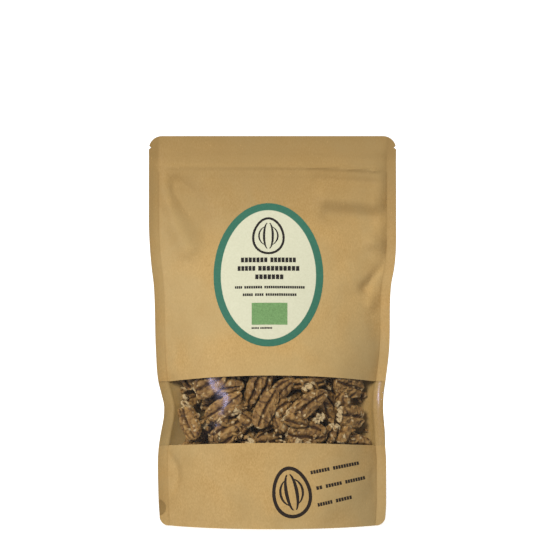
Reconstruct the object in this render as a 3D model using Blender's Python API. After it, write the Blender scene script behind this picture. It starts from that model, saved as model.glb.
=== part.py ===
"""Kraft stand-up pouch with a clear window band, filled with shelled pecan halves.

Metres, +Z up. The pouch faces -Y and stands on its opened bottom gusset. The origin is the middle of its
footprint. Sheets are described by two coordinates: x across the pouch, and t, the height measured up the
flat sheet from its bottom edge.
"""

import math

import bmesh
import bpy
import numpy as np
from mathutils import Matrix, Vector

MM = 0.001

# Driving dimensions, in millimetres
POUCH_HEIGHT = 220.5
SIDE_SEAL = 5.5  # width of the welded strip down each side
TOP_CORNER_RADIUS = 7.5
BOTTOM_CORNER_RADIUS = 5.0
WINDOW_BOTTOM = 45.4  # height of the window's lower edge at the side seals
WINDOW_TOP = 81.6
ZIP_HEIGHT = 203.0
TEAR_NOTCH_HEIGHT = 214.0
TEAR_NOTCH_DEPTH = 1.2
TEAR_NOTCH_HALF = 1.0
PUNCH_HEIGHT = 10.4  # half-moon punched in the front sheets' left edge
PUNCH_RADIUS = 4.7
PUNCH_OUTSIDE = 0.7  # how far the punch's centre lies outside the edge
LABEL_WIDTH = 61.5
LABEL_HEIGHT = 84.0
LABEL_CENTRE = (-2.3, 140.0)

# Sheet thicknesses and the clearance between neighbouring sheets, in millimetres
FILM = 0.2
KRAFT = 0.3
BACK = 0.4
GUSSET = 0.3
LABEL = 0.25
CLEARANCE = 0.3
FRONT_FIN = 0.5 * CLEARANCE + FILM  # depth of the film's outer face at the side seals
BACK_FIN = 0.5 * CLEARANCE + BACK

# Half widths of the pouch by height: (height, left, right)
SIDES = [
    (0, 63.8, 63.8), (13, 64.4, 64.4), (36, 64.9, 64.4), (45, 64.4, 63.9), (54, 63.0, 63.6),
    (61, 61.7, 63.0), (67, 61.4, 62.7), (75, 63.0, 63.0), (82, 64.7, 64.0), (99, 66.0, 66.0),
    (136, 67.2, 67.2), (146, 68.4, 69.0), (156, 69.3, 69.9), (172, 70.0, 70.0), (220.5, 70.0, 70.0),
]
# Bulge of the front and back by height, at the middle of the sheet: (height, front, back)
BULGE = [
    (0, 21.5, 19.5), (12, 22.3, 20.0), (36, 23.0, 20.5), (62, 25.3, 22.0), (84, 23.0, 20.5),
    (100, 19.8, 18.0), (118, 16.3, 15.0), (136, 12.3, 11.5), (154, 7.4, 7.0), (172, 3.2, 3.2),
    (188, 1.8, 1.8), (197, 1.75, 1.75), (208, 1.75, 1.75), (212, 0.15, 0.15), (220.5, 0.0, 0.0),
]
# How square the bulge's cross-section is, by height: 2 is a parabola, more is a flat-topped ridge
SQUARENESS = [
    (0, 2.3), (40, 2.9), (95, 2.9), (130, 2.4), (160, 3.0), (185, 9.0), (197, 24.0), (220.5, 24.0),
]
# How far the middle of a level line of the sheet rises above its ends, by height
BOW = [(0, 0.0), (20, 1.2), (45.4, 2.8), (81.6, 4.0), (110, 3.2), (150, 1.4), (190, 0.3), (220.5, 0.0)]
BOW_POWER = 2.2
# Soft ridges and dents in the front: (x, t) of both ends, half width across, height outwards
FRONT_FOLDS = [
    ((-58, 188), (-36, 142), 7.5, 1.7),
    ((-46, 192), (-26, 150), 8.0, -1.4),
    ((36, 181), (62, 178), 5.5, 1.1),
    ((52, 156), (64, 160), 5.0, 0.9),
    ((-57, 40), (-50, 22), 4.5, -1.3),
]

# Grid lines that every sheet shares
ACROSS_STEPS = 7  # from the middle of the pouch to a side seal
LEVELS = [
    0, 2.5, 5.8, 8.2, 10.4, 12.7, 15.1, 22, 30, 38, WINDOW_BOTTOM, 51, 57, 63, 69, 75, WINDOW_TOP, 88, 96,
    106, 116, 126, 136, 146, 156, 166, 176, 186, 196, 209, 212.5, 213, 214, 215, 216.5, 218.4, 219.8, 220.5,
]

# Gusset: the seal to the walls and the fold's ridge rise towards the sides
GUSSET_SEAL = (5.0, 27.0, 3.0)  # height at the middle, rise to the side, power
GUSSET_RIDGE = (-6.0, 42.0, 1.8)
GUSSET_END = 0.955  # share of the way to the side seal where the channel closes
GUSSET_ACROSS = 9
GUSSET_LEGS = 2
GUSSET_FLOOR = 8

# Pecan halves, in millimetres: ranges of length, width, dome height and belly depth
HALF_SIZES = ((22.5, 29.0), (10.6, 14.0), (4.7, 6.1), (2.1, 2.8))
HALF_COUNT = 52
FILL_TOP = 106.0
TRIES = 320  # places tried for each half
CELL = 0.8  # grid step of the depth map used to pack the halves
PACK_GAP = 0.35
LEANING = 0.16
WINDOW_NEED = 5.0  # how much sooner the space behind the window is filled than the rest
SPARE_ATTEMPTS = 12
SEED = 2

KRAFT_BROWN = (0.56, 0.40, 0.21, 1.0)
KRAFT_INSIDE = (0.36, 0.22, 0.10, 1.0)
FILM_CLEAR = (0.95, 0.95, 0.93, 0.25)
ZIP_CLEAR = (0.85, 0.87, 0.86, 1.0)
LABEL_CREAM = (0.80, 0.77, 0.62, 1.0)
PECAN_BROWN = (0.36, 0.21, 0.10, 1.0)


# ---------------------------------------------------------------- curves of the pouch


def smooth_through(stations, column, at):
    """A smooth curve through (height, value) stations, read at the heights in at: cubic Hermite pieces
    whose slope at a station is zero at a peak and otherwise the mean of its neighbours' slopes."""
    heights = np.array([s[0] for s in stations], float)
    values = np.array([s[column] for s in stations], float)
    steps = np.diff(values) / np.diff(heights)
    slopes = np.zeros_like(values)
    inner = np.where(steps[:-1] * steps[1:] > 0, 0.5 * (steps[:-1] + steps[1:]), 0.0)
    slopes[1:-1] = inner
    at = np.clip(np.asarray(at, float), heights[0], heights[-1])
    i = np.clip(np.searchsorted(heights, at, side="right") - 1, 0, len(heights) - 2)
    span = heights[i + 1] - heights[i]
    s = (at - heights[i]) / span
    return (
        (2 * s**3 - 3 * s**2 + 1) * values[i]
        + (s**3 - 2 * s**2 + s) * span * slopes[i]
        + (3 * s**2 - 2 * s**3) * values[i + 1]
        + (s**3 - s**2) * span * slopes[i + 1]
    )


def seal_line(x, t):
    """Distance from the middle to the side seal's inner line, on the side that x is on."""
    left = smooth_through(SIDES, 1, t) - SIDE_SEAL
    right = smooth_through(SIDES, 2, t) - SIDE_SEAL
    return np.where(np.asarray(x) < 0, left, right)


def share_across(x, t):
    """0 at the middle of the pouch, 1 at the inner line of the side seal and beyond."""
    return np.minimum(np.abs(x) / seal_line(x, t), 1.0)


def fold_height(x, t, fold):
    """Height of one soft fold: a bell across its line, fading out at both ends."""
    (x0, t0), (x1, t1), half_width, height = fold
    dx, dt = x1 - x0, t1 - t0
    length = math.hypot(dx, dt)
    along = ((x - x0) * dx + (t - t0) * dt) / length**2
    across = ((x - x0) * dt - (t - t0) * dx) / length
    past_end = np.maximum(np.abs(along - 0.5) - 0.5, 0.0) * length
    return height * np.exp(-(across**2 + past_end**2) / half_width**2)


def wall_depth(x, t, side):
    """Depth of a wall's outer face from the pouch's middle plane. side is 1 for the front, 2 for the back."""
    share = share_across(x, t)
    bulge = smooth_through(BULGE, side, t) * (1 - share ** smooth_through(SQUARENESS, 1, t))
    if side == 1:
        label_x = 2 * (x - LABEL_CENTRE[0]) / LABEL_WIDTH
        label_t = 2 * (t - LABEL_CENTRE[1]) / LABEL_HEIGHT
        off_label = np.clip((np.hypot(label_x, label_t) - 1.1) / 0.35, 0, 1)
        fade = np.clip(6 * (1 - share), 0, 1) * np.clip((196 - t) / 12, 0, 1) * off_label
        bulge = bulge + fade * sum(fold_height(x, t, fold) for fold in FRONT_FOLDS)
    return (FRONT_FIN if side == 1 else BACK_FIN) + np.maximum(bulge, 0.0)


def level_height(x, t):
    """World height of the sheet's point (x, t): level lines of the flat sheet bow upwards in the middle."""
    return t + smooth_through(BOW, 1, t) * (1 - share_across(x, t) ** BOW_POWER)


def wall_point(x, t, side):
    """Points of the front (side 1) or back (side 2) wall's outer face, in millimetres."""
    x, t = np.broadcast_arrays(np.asarray(x, float), np.asarray(t, float))
    depth = wall_depth(x, t, side)
    return np.stack([x, -depth if side == 1 else depth, level_height(x, t)], axis=-1)


def outline(t, column, punched):
    """Half width of a cut sheet at height t, with its rounded corners, tear notch and half-moon punch."""
    half = smooth_through(SIDES, column, t)
    top = np.clip(t - (POUCH_HEIGHT - TOP_CORNER_RADIUS), 0, TOP_CORNER_RADIUS)
    half = half - TOP_CORNER_RADIUS + np.sqrt(TOP_CORNER_RADIUS**2 - top**2)
    low = np.clip(BOTTOM_CORNER_RADIUS - t, 0, BOTTOM_CORNER_RADIUS)
    half = half - BOTTOM_CORNER_RADIUS + np.sqrt(BOTTOM_CORNER_RADIUS**2 - low**2)
    half = half - TEAR_NOTCH_DEPTH * np.clip(1 - np.abs(t - TEAR_NOTCH_HEIGHT) / TEAR_NOTCH_HALF, 0, 1)
    if punched:
        inside = np.maximum(PUNCH_RADIUS**2 - (t - PUNCH_HEIGHT) ** 2, 0)
        half = half - np.maximum(np.sqrt(inside) - PUNCH_OUTSIDE, 0)
    return half


def sheet_columns(t, punched):
    """x of the grid's columns at height t: seal edge, seal line, then across to the other seal."""
    inner = np.sin(np.linspace(-0.5, 0.5, 2 * ACROSS_STEPS + 1) * math.pi)
    left_line, right_line = seal_line(-1, t), seal_line(1, t)
    left_edge, right_edge = outline(t, 1, punched), outline(t, 2, False)
    lines = np.where(inner < 0, inner * min(left_line, left_edge - 0.3), inner * min(right_line, right_edge - 0.3))
    return np.concatenate([[-left_edge], lines, [right_edge]])


def sheet_grid(levels, side, punched=False):
    """Rows of points of a wall's outer face at these heights of the flat sheet."""
    return np.stack([wall_point(sheet_columns(t, punched), t, side) for t in levels])


# ---------------------------------------------------------------- meshes


def outward(points, towards):
    """Unit normals of a grid of points, turned to the side of the direction towards."""
    along_rows = np.gradient(points, axis=0)
    along_columns = np.gradient(points, axis=1)
    normals = np.cross(along_columns, along_rows)
    normals /= np.linalg.norm(normals, axis=-1, keepdims=True)
    return normals * np.sign((normals * towards).sum(-1, keepdims=True))


def grid_mesh(name, points, wrap=False):
    """A mesh of quads through rows of points in millimetres; wrap joins the last column to the first."""
    rows, columns = points.shape[:2]
    mesh = bpy.data.meshes.new(name)
    ids = np.arange(rows * columns).reshape(rows, columns)
    right = np.roll(ids, -1, axis=1) if wrap else ids[:, 1:]
    left = ids if wrap else ids[:, :-1]
    quads = np.stack([left[:-1], right[:-1], right[1:], left[1:]], axis=-1).reshape(-1, 4)
    mesh.from_pydata((points.reshape(-1, 3) * MM).tolist(), [], quads.tolist())
    return mesh


def add_object(name, mesh, material, parent):
    mesh.materials.append(material)
    made = bpy.data.objects.new(name, mesh)
    bpy.context.scene.collection.objects.link(made)
    made.parent = parent
    return made


def sheet_solid(name, points, towards, inner, thickness, material, parent):
    """A sheet of even thickness whose inner face stands off the grid by inner, towards the given side."""
    normals = outward(points, np.asarray(towards, float))
    mesh = grid_mesh(name, points + normals * inner)
    made = add_object(name, mesh, material, parent)
    face_out = bmesh.new()
    face_out.from_mesh(mesh)
    bmesh.ops.triangulate(face_out, faces=face_out.faces[:], quad_method="BEAUTY")
    face_out.normal_update()
    middle = max(face_out.faces, key=lambda face: face.calc_area())
    if middle.normal.dot(Vector(towards)) < 0:
        bmesh.ops.reverse_faces(face_out, faces=face_out.faces[:])
    face_out.to_mesh(mesh)
    face_out.free()
    solidify = made.modifiers.new("thickness", "SOLIDIFY")
    solidify.thickness = thickness * MM
    solidify.offset = 1.0
    solidify.use_even_offset = False
    mesh.shade_smooth()
    return made


def new_material(name, colour, roughness, metallic=0.0):
    made = bpy.data.materials.new(name)
    made.use_nodes = True
    shader = made.node_tree.nodes["Principled BSDF"]
    shader.inputs["Base Color"].default_value = colour
    shader.inputs["Roughness"].default_value = roughness
    shader.inputs["Metallic"].default_value = metallic
    shader.inputs["Alpha"].default_value = colour[3]
    return made


# ---------------------------------------------------------------- walls, gusset, zip and label


def build_walls(materials, pouch):
    """The clear front film, the two kraft sheets laminated to it, and the kraft back."""
    front, back = (0, -1, 0), (0, 1, 0)
    full = sheet_grid(LEVELS, 1, punched=True)
    low = LEVELS.index(WINDOW_BOTTOM) + 1
    high = LEVELS.index(WINDOW_TOP)
    sheet_solid("front_film", full, front, -FILM, FILM, materials["film"], pouch)
    sheet_solid("front_kraft_lower", full[:low], front, CLEARANCE, KRAFT, materials["kraft"], pouch)
    sheet_solid("front_kraft_upper", full[high:], front, CLEARANCE, KRAFT, materials["kraft"], pouch)
    sheet_solid("back_wall", sheet_grid(LEVELS, 2), back, -BACK, BACK, materials["kraft"], pouch)


def gusset_height(share, curve):
    middle, rise, power = curve
    return middle + rise * share**power


def gusset_section(x):
    """The gusset's cross-section at x: up the inside of the front wall, over the fold's ridge, and down
    the inside of the back wall. Its middle is pressed flat on the surface that the pouch stands on."""
    share = abs(x) / float(seal_line(x, 0))
    seal = gusset_height(share, GUSSET_SEAL)
    ridge = gusset_height(share, GUSSET_RIDGE)
    front = -(float(wall_depth(x, 0, 1)) - FILM - CLEARANCE - GUSSET)
    back = float(wall_depth(x, 0, 2)) - BACK - CLEARANCE - GUSSET
    leg = np.linspace(0, 1, GUSSET_LEGS + 1)[:-1]
    over = np.linspace(-1, 1, GUSSET_FLOOR + 1)
    middle, half = 0.5 * (front + back), 0.5 * (back - front)
    floor_z = np.maximum(seal * over**2 + ridge * (1 - over**2), GUSSET)
    y = np.concatenate([np.full(len(leg), front), middle + half * over, np.full(len(leg), back)])
    z = np.concatenate([leg * seal, floor_z, leg[::-1] * seal])
    return np.stack([np.full(len(y), x), y, z], axis=-1)


def build_gusset(material, pouch):
    """The bottom gusset: a folded sheet whose legs are sealed inside the walls."""
    shares = np.sin(np.linspace(-0.5, 0.5, 2 * GUSSET_ACROSS + 1) * math.pi) * GUSSET_END
    grid = np.stack([gusset_section(s * float(seal_line(s, 0))) for s in shares])
    mesh = grid_mesh("bottom_gusset", grid)
    made = add_object("bottom_gusset", mesh, material, pouch)
    normals_up = bmesh.new()
    normals_up.from_mesh(mesh)
    bmesh.ops.triangulate(normals_up, faces=normals_up.faces[:], quad_method="BEAUTY")
    normals_up.normal_update()
    if sum(face.normal.z * face.calc_area() for face in normals_up.faces) < 0:
        bmesh.ops.reverse_faces(normals_up, faces=normals_up.faces[:])
    normals_up.to_mesh(mesh)
    normals_up.free()
    solidify = made.modifiers.new("thickness", "SOLIDIFY")
    solidify.thickness = GUSSET * MM
    solidify.offset = -1.0
    mesh.shade_smooth()


def extruded_profile(name, profile, half_length, material, parent):
    """A strip of constant (y, z) profile, in millimetres, run along X."""
    strip = bmesh.new()
    corners = [strip.verts.new((-half_length * MM, y * MM, z * MM)) for y, z in profile]
    face = strip.faces.new(corners)
    run = bmesh.ops.extrude_face_region(strip, geom=[face])
    moved = [v for v in run["geom"] if isinstance(v, bmesh.types.BMVert)]
    bmesh.ops.translate(strip, verts=moved, vec=(2 * half_length * MM, 0, 0))
    bmesh.ops.recalc_face_normals(strip, faces=strip.faces[:])
    mesh = bpy.data.meshes.new(name)
    strip.to_mesh(mesh)
    strip.free()
    return add_object(name, mesh, material, parent)


def build_zip(material, pouch):
    """The press-to-close zip inside the mouth: a rib strip on the back and a grooved strip on the front."""
    half_length, flange_half, flange = 56.0, 5.0, 0.25
    face = 1.35  # depth of each flange's outer side
    root = face - flange
    neck, head, head_depth = 0.2, 0.42, 0.35
    jaw_inside, jaw_outside, lip, lip_depth = 0.68, 0.95, 0.44, 0.2
    rib = [
        (face, -flange_half), (face, flange_half), (root, flange_half), (root, neck), (0.1, neck),
        (0.1, head), (0.1 - head_depth, head), (0.1 - head_depth, -head), (0.1, -head), (0.1, -neck),
        (root, -neck), (root, -flange_half),
    ]
    tip = 0.55
    groove = [
        (-face, -flange_half), (-root, -flange_half), (-root, -jaw_outside), (tip, -jaw_outside),
        (tip, -lip), (tip - lip_depth, -lip), (tip - lip_depth, -jaw_inside), (-root, -jaw_inside),
        (-root, jaw_inside), (tip - lip_depth, jaw_inside), (tip - lip_depth, lip), (tip, lip),
        (tip, jaw_outside), (-root, jaw_outside), (-root, flange_half), (-face, flange_half),
    ]
    for name, profile in (("zip_rib_strip", rib), ("zip_groove_strip", groove)):
        made = extruded_profile(name, profile, half_length, material, pouch)
        made.location.z = ZIP_HEIGHT * MM


def build_label(material, pouch):
    """The oval paper label: rings of points from its middle out, laid on the front sheet."""
    rings = np.array([0.0, 0.3, 0.56, 0.8, 1.0])
    around = np.linspace(0, 2 * math.pi, 28, endpoint=False)
    x = LABEL_CENTRE[0] + 0.5 * LABEL_WIDTH * np.outer(rings, np.cos(around))
    t = LABEL_CENTRE[1] + 0.5 * LABEL_HEIGHT * np.outer(rings, np.sin(around))
    step = 0.5
    here = wall_point(x, t, 1)
    normals = np.cross(wall_point(x + step, t, 1) - here, wall_point(x, t + step, 1) - here)
    normals /= np.linalg.norm(normals, axis=-1, keepdims=True)
    stand_off = 2 * CLEARANCE + KRAFT
    mesh = grid_mesh("oval_label", here + normals * stand_off, wrap=True)
    made = add_object("oval_label", mesh, material, pouch)
    disc = bmesh.new()
    disc.from_mesh(mesh)
    bmesh.ops.remove_doubles(disc, verts=disc.verts[:], dist=0.01 * MM)
    bmesh.ops.triangulate(disc, faces=disc.faces[:])
    disc.normal_update()
    if sum(face.normal.y * face.calc_area() for face in disc.faces) > 0:
        bmesh.ops.reverse_faces(disc, faces=disc.faces[:])
    disc.to_mesh(mesh)
    disc.free()
    solidify = made.modifiers.new("thickness", "SOLIDIFY")
    solidify.thickness = LABEL * MM
    solidify.offset = 1.0
    mesh.shade_smooth()


# ---------------------------------------------------------------- pecan halves


def pecan_surface(size, rings, around):
    """Rows of points over a pecan half lying on its belly, long axis X, dome towards +Z, in millimetres.

    The rings run from the blunt end to the pointed one. A ring is a half ellipse for the dome and a flatter
    one for the belly, which has a groove along its middle.
    """
    length, width, dome, belly = size
    a = np.linspace(0, math.pi, rings + 1)[:, None]
    b = np.linspace(0, 2 * math.pi, around, endpoint=False)[None, :]
    fullness = np.sin(a) ** 0.85 * (1 + 0.16 * np.cos(a))
    y = 0.5 * width * fullness * np.cos(b)
    up, down = np.maximum(np.sin(b), 0), np.maximum(-np.sin(b), 0)
    groove = 0.45 * belly * np.exp(-((np.cos(b) / 0.3) ** 2)) * (np.sin(b) < 0)
    z = fullness * (dome * up**0.9 - belly * down**0.8 + groove)
    x = -0.5 * length * np.cos(a) + 0 * y
    return np.stack([x, y, z], axis=-1)


def widened(cells, pick):
    """Each cell takes the pick (minimum or maximum) of itself and its eight neighbours."""
    grown = cells.copy()
    for axis in (0, 1):
        ahead, behind = np.roll(grown, 1, axis), np.roll(grown, -1, axis)
        grown = pick(grown, pick(ahead, behind))
    return grown


class PackedFill:
    """Halves packed against the front wall. A depth map over (x, z) holds how far back the space is
    taken, so each new half is pushed towards the front until it meets the wall or the halves before it.
    A second map holds how much each spot still needs a half: most behind the window, less once one is
    there."""

    def __init__(self):
        self.random = np.random.default_rng(SEED)
        self.x = np.arange(-64, 64 + CELL, CELL)
        self.z = np.arange(0, 116 + CELL, CELL)
        x, z = np.meshgrid(self.x, self.z, indexing="ij")
        t = z.copy()
        for _ in range(6):
            t = z - (level_height(x, t) - t)
        front, back = wall_depth(x, t, 1), wall_depth(x, t, 2)
        self.taken = -(front - FILM - PACK_GAP)
        self.wall = self.taken.copy()
        self.limit = back - BACK - PACK_GAP
        share = share_across(x, 0 * t)
        floor = np.maximum(gusset_height(share, GUSSET_SEAL), gusset_height(share, GUSSET_RIDGE))
        self.open = (z > floor + 1.2) & (z < FILL_TOP) & (share_across(x, t) < 0.985)
        window = (t > WINDOW_BOTTOM - 1) & (t < WINDOW_TOP + 2)
        self.need = np.where(window, WINDOW_NEED, 1.0) * self.open

    def turn(self, i, j, spin, dome_front, lean):
        """Rotation whose third column is the dome's direction: square to the surface already there."""
        r = 7
        i0, i1, j0, j1 = max(i - r, 0), i + r + 1, max(j - r, 0), j + r + 1
        patch = self.taken[i0:i1, j0:j1]
        usable = self.open[i0:i1, j0:j1]
        xs, zs = np.meshgrid(self.x[i0:i1], self.z[j0:j1], indexing="ij")
        design = np.stack([xs[usable], zs[usable], np.ones(usable.sum())], axis=1)
        slope = np.linalg.lstsq(design, patch[usable], rcond=None)[0][:2]
        slope = np.clip(slope, -0.8, 0.8) + lean
        facing = Vector((slope[0], -1.0, slope[1])).normalized()
        dome = facing if dome_front else -facing
        along = Vector((math.cos(spin), 0, math.sin(spin)))
        along = (along - along.dot(dome) * dome).normalized()
        return np.array([along, dome.cross(along), dome]).T

    def envelopes(self, surface):
        """Front-most and back-most y of a turned half in each cell of its footprint, one cell wider."""
        cells = np.round(surface[:, [0, 2]] / CELL).astype(int)
        low = cells.min(0) - 1
        size = cells.max(0) - low + 2
        index = (cells[:, 0] - low[0]) * size[1] + cells[:, 1] - low[1]
        order = np.argsort(index)
        found, first = np.unique(index[order], return_index=True)
        front, back = np.full(size.prod(), np.inf), np.full(size.prod(), -np.inf)
        front[found] = np.minimum.reduceat(surface[order, 1], first)
        back[found] = np.maximum.reduceat(surface[order, 1], first)
        return low, widened(front.reshape(size), np.minimum), widened(back.reshape(size), np.maximum)

    def place(self, size):
        """The best of many tried places for one half: the neediest spot that wastes least space."""
        surface = pecan_surface(size, 40, 56).reshape(-1, 3)
        cells = np.flatnonzero(self.open)
        likely = self.need.ravel()[cells] ** 2
        picks = self.random.choice(cells, TRIES, p=likely / likely.sum())
        best = None
        for i, j in zip(*np.unravel_index(picks, self.open.shape)):
            spin = self.random.uniform(0, 2 * math.pi)
            lean = self.random.normal(0, LEANING, 2)
            turn = self.turn(i, j, spin, self.random.random() < 0.7, lean)
            low, front, back = self.envelopes(surface @ turn.T)
            i0, j0 = i + low[0], j + low[1]
            i1, j1 = i0 + front.shape[0], j0 + front.shape[1]
            if i0 < 0 or j0 < 0 or i1 > len(self.x) or j1 > len(self.z):
                continue
            covered = np.isfinite(front)
            if not self.open[i0:i1, j0:j1][covered].all():
                continue
            taken = self.taken[i0:i1, j0:j1][covered]
            offset = (taken - front[covered]).max() + PACK_GAP
            if (offset + back[covered] > self.limit[i0:i1, j0:j1][covered]).any():
                continue
            wasted = (offset + front[covered] - taken).mean()
            behind = (offset + front[covered] - self.wall[i0:i1, j0:j1][covered]).mean()
            worth = self.need[i0:i1, j0:j1][covered].mean() - 0.1 * wasted - 0.03 * behind
            if best is None or worth > best[0]:
                best = (worth, turn, (self.x[i], offset, self.z[j]), (i0, i1, j0, j1), covered, back)
        if best is None:
            return None
        _, turn, centre, (i0, i1, j0, j1), covered, back = best
        patch = self.taken[i0:i1, j0:j1]
        patch[covered] = np.maximum(patch[covered], centre[1] + back[covered])
        self.need[i0:i1, j0:j1][covered] *= 0.3
        return turn, centre


def build_halves(material, pouch):
    """The halves, packed one after another and numbered in the order they are packed."""
    fill = PackedFill()
    number = 0
    for _ in range(HALF_COUNT + SPARE_ATTEMPTS):
        size = tuple(fill.random.uniform(*span) for span in HALF_SIZES)
        placed = fill.place(size) if number < HALF_COUNT else None
        if placed is None:
            continue
        number += 1
        turn, centre = placed
        name = f"pecan_half_{number:02d}"
        mesh = grid_mesh(name, pecan_surface(size, 7, 10), wrap=True)
        skin = bmesh.new()
        skin.from_mesh(mesh)
        bmesh.ops.remove_doubles(skin, verts=skin.verts[:], dist=0.01 * MM)
        bmesh.ops.recalc_face_normals(skin, faces=skin.faces[:])
        skin.to_mesh(mesh)
        skin.free()
        mesh.shade_smooth()
        made = add_object(name, mesh, material, pouch)
        made.matrix_local = Matrix.Translation(Vector(centre) * MM) @ Matrix(turn.tolist()).to_4x4()
    print(f"{number} pecan halves packed, {number / HALF_COUNT:.0%} of those asked for")


# ---------------------------------------------------------------- the whole pouch


def centre_on_origin(pouch):
    """Moves the pouch so that the origin is the middle of the bottom of its box."""
    bpy.context.view_layer.update()
    graph = bpy.context.evaluated_depsgraph_get()
    corners = [
        made.matrix_world @ Vector(corner)
        for made in (child.evaluated_get(graph) for child in pouch.children)
        for corner in made.bound_box
    ]
    low, high = (Vector(map(pick, zip(*corners))) for pick in (min, max))
    pouch.location = (-0.5 * (low.x + high.x), -0.5 * (low.y + high.y), -low.z)


def main():
    for leftover in list(bpy.data.objects):
        bpy.data.objects.remove(leftover)
    pouch = bpy.data.objects.new("pouch", None)
    bpy.context.scene.collection.objects.link(pouch)
    materials = {
        "kraft": new_material("kraft_paper", KRAFT_BROWN, 0.8),
        "film": new_material("clear_film", FILM_CLEAR, 0.15),
        "gusset": new_material("gusset_kraft", KRAFT_INSIDE, 0.7),
        "zip": new_material("zip_plastic", ZIP_CLEAR, 0.35),
        "label": new_material("label_paper", LABEL_CREAM, 0.55),
        "pecan": new_material("pecan_kernel", PECAN_BROWN, 0.6),
    }
    build_walls(materials, pouch)
    build_gusset(materials["gusset"], pouch)
    build_zip(materials["zip"], pouch)
    build_label(materials["label"], pouch)
    build_halves(materials["pecan"], pouch)
    centre_on_origin(pouch)


main()
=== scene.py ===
# %% [markdown]
# # A kraft window pouch of pecan halves
# The object is a stand-up food pouch. A brown kraft back, a clear front film with two kraft sheets
# laminated on it, and a gusset folded into the bottom are welded round their edges. Pecan halves fill it
# and show through the band of film that the two kraft sheets leave bare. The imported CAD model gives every
# size and place. This file makes the finished surfaces over it: each sheet is one smooth function of two
# numbers, so all the sheets that lie on each other stay together everywhere.

import math

import bmesh
import bpy
import numpy as np
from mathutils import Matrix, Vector


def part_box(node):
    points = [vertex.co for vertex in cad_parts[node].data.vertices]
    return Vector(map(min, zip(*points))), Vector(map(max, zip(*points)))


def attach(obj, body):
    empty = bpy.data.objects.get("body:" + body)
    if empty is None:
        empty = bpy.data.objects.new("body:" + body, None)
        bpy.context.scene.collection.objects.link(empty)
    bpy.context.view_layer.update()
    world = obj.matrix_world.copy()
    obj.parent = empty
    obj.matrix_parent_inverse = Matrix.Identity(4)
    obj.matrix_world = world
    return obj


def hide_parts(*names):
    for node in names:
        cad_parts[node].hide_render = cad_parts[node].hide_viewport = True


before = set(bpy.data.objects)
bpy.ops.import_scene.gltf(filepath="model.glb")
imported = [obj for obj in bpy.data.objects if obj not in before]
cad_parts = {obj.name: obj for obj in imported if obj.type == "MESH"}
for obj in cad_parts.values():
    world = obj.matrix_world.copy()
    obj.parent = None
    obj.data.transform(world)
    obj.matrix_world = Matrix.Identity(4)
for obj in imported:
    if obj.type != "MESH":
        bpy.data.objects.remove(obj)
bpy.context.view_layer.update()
MM = 0.001
middle_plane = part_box("back_wall")[0].y / MM - 0.15  # y of the plane where the front and back are welded
halves = sorted(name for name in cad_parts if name.startswith("pecan_half"))

# %% [markdown]
# ## The camera, the floor and the light
# The pouch is seen level, from its own mid height and more than a metre away, so a long lens keeps its
# sides parallel; the lens is shifted so that the pouch stands low in the frame. The floor is a wide
# shallow bowl, so that it sweeps up into a backdrop without a corner on every side. One soft lamp on the
# left, a little above the pouch, rakes over the dents in the paper, a dim sky fills its shadows, a cool
# narrow lamp beside it only draws a glint in the film, and one lights the back.

# %% Camera
VIEW_DISTANCE, VIEW_HEIGHT, SCALE_WIDTH = 1.2, 0.118, 0.3061
camera = bpy.data.objects.new("camera", bpy.data.cameras.new("camera"))
bpy.context.scene.collection.objects.link(camera)
camera.data.sensor_width = 36
camera.data.lens = 36 * VIEW_DISTANCE / SCALE_WIDTH
camera.data.shift_y = 0.0875
camera.location = (-0.0014, middle_plane * MM - VIEW_DISTANCE, VIEW_HEIGHT)
camera.rotation_euler = (math.pi / 2, 0, 0)
bpy.context.scene.camera = camera
bpy.context.scene.view_settings.view_transform = "Standard"
print("camera at", tuple(round(v, 3) for v in camera.location))

# %% Sweep: a round floor that curves up into a backdrop
SWEEP_FLOOR, SWEEP_BEND, SWEEP_TOP = 2.4, 0.9, 4.0


def sweep_points(around=96):
    """A turned bowl: a flat disc, a quarter circle up, and a straight wall, turned about the Z axis."""
    turn = np.linspace(0, np.pi / 2, 20)
    radius = np.concatenate([[0.02], SWEEP_FLOOR + SWEEP_BEND * np.sin(turn), [SWEEP_FLOOR + SWEEP_BEND]])
    height = np.concatenate([[0], SWEEP_BEND * (1 - np.cos(turn)), [SWEEP_TOP]])
    angle = np.linspace(0, 2 * np.pi, around, endpoint=False)
    x, y = np.outer(radius, np.cos(angle)), np.outer(radius, np.sin(angle))
    return np.stack([x, y, height[:, None] + 0 * x], axis=-1)


bowl = sweep_points()
sweep_mesh = bpy.data.meshes.new("sweep")
ids = np.arange(bowl.shape[0] * bowl.shape[1]).reshape(bowl.shape[:2])
ahead = np.roll(ids, -1, axis=1)
quads = np.stack([ids[:-1], ids[1:], ahead[1:], ahead[:-1]], axis=-1).reshape(-1, 4)
sweep_mesh.from_pydata(bowl.reshape(-1, 3).tolist(), [], quads.tolist() + [ids[0].tolist()])
sweep_mesh.shade_smooth()
sweep = bpy.data.objects.new("sweep", sweep_mesh)
bpy.context.scene.collection.objects.link(sweep)
sweep.visible_diffuse = False  # the white sweep throws no light back, as black flags would see to in a studio
sweep.visible_glossy = False
print("sweep of", len(quads), "faces")

# %% Lamps and sky


def add_lamp(name, place, target, size, watts, colour):
    """A square soft lamp that faces its target."""
    lamp = bpy.data.objects.new(name, bpy.data.lights.new(name, "AREA"))
    bpy.context.scene.collection.objects.link(lamp)
    lamp.data.shape = "RECTANGLE"
    lamp.data.size, lamp.data.size_y = size
    lamp.data.energy = watts
    lamp.data.color = colour
    lamp.location = place
    lamp.rotation_euler = (Vector(target) - Vector(place)).to_track_quat("-Z", "Y").to_euler()
    return lamp


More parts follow.
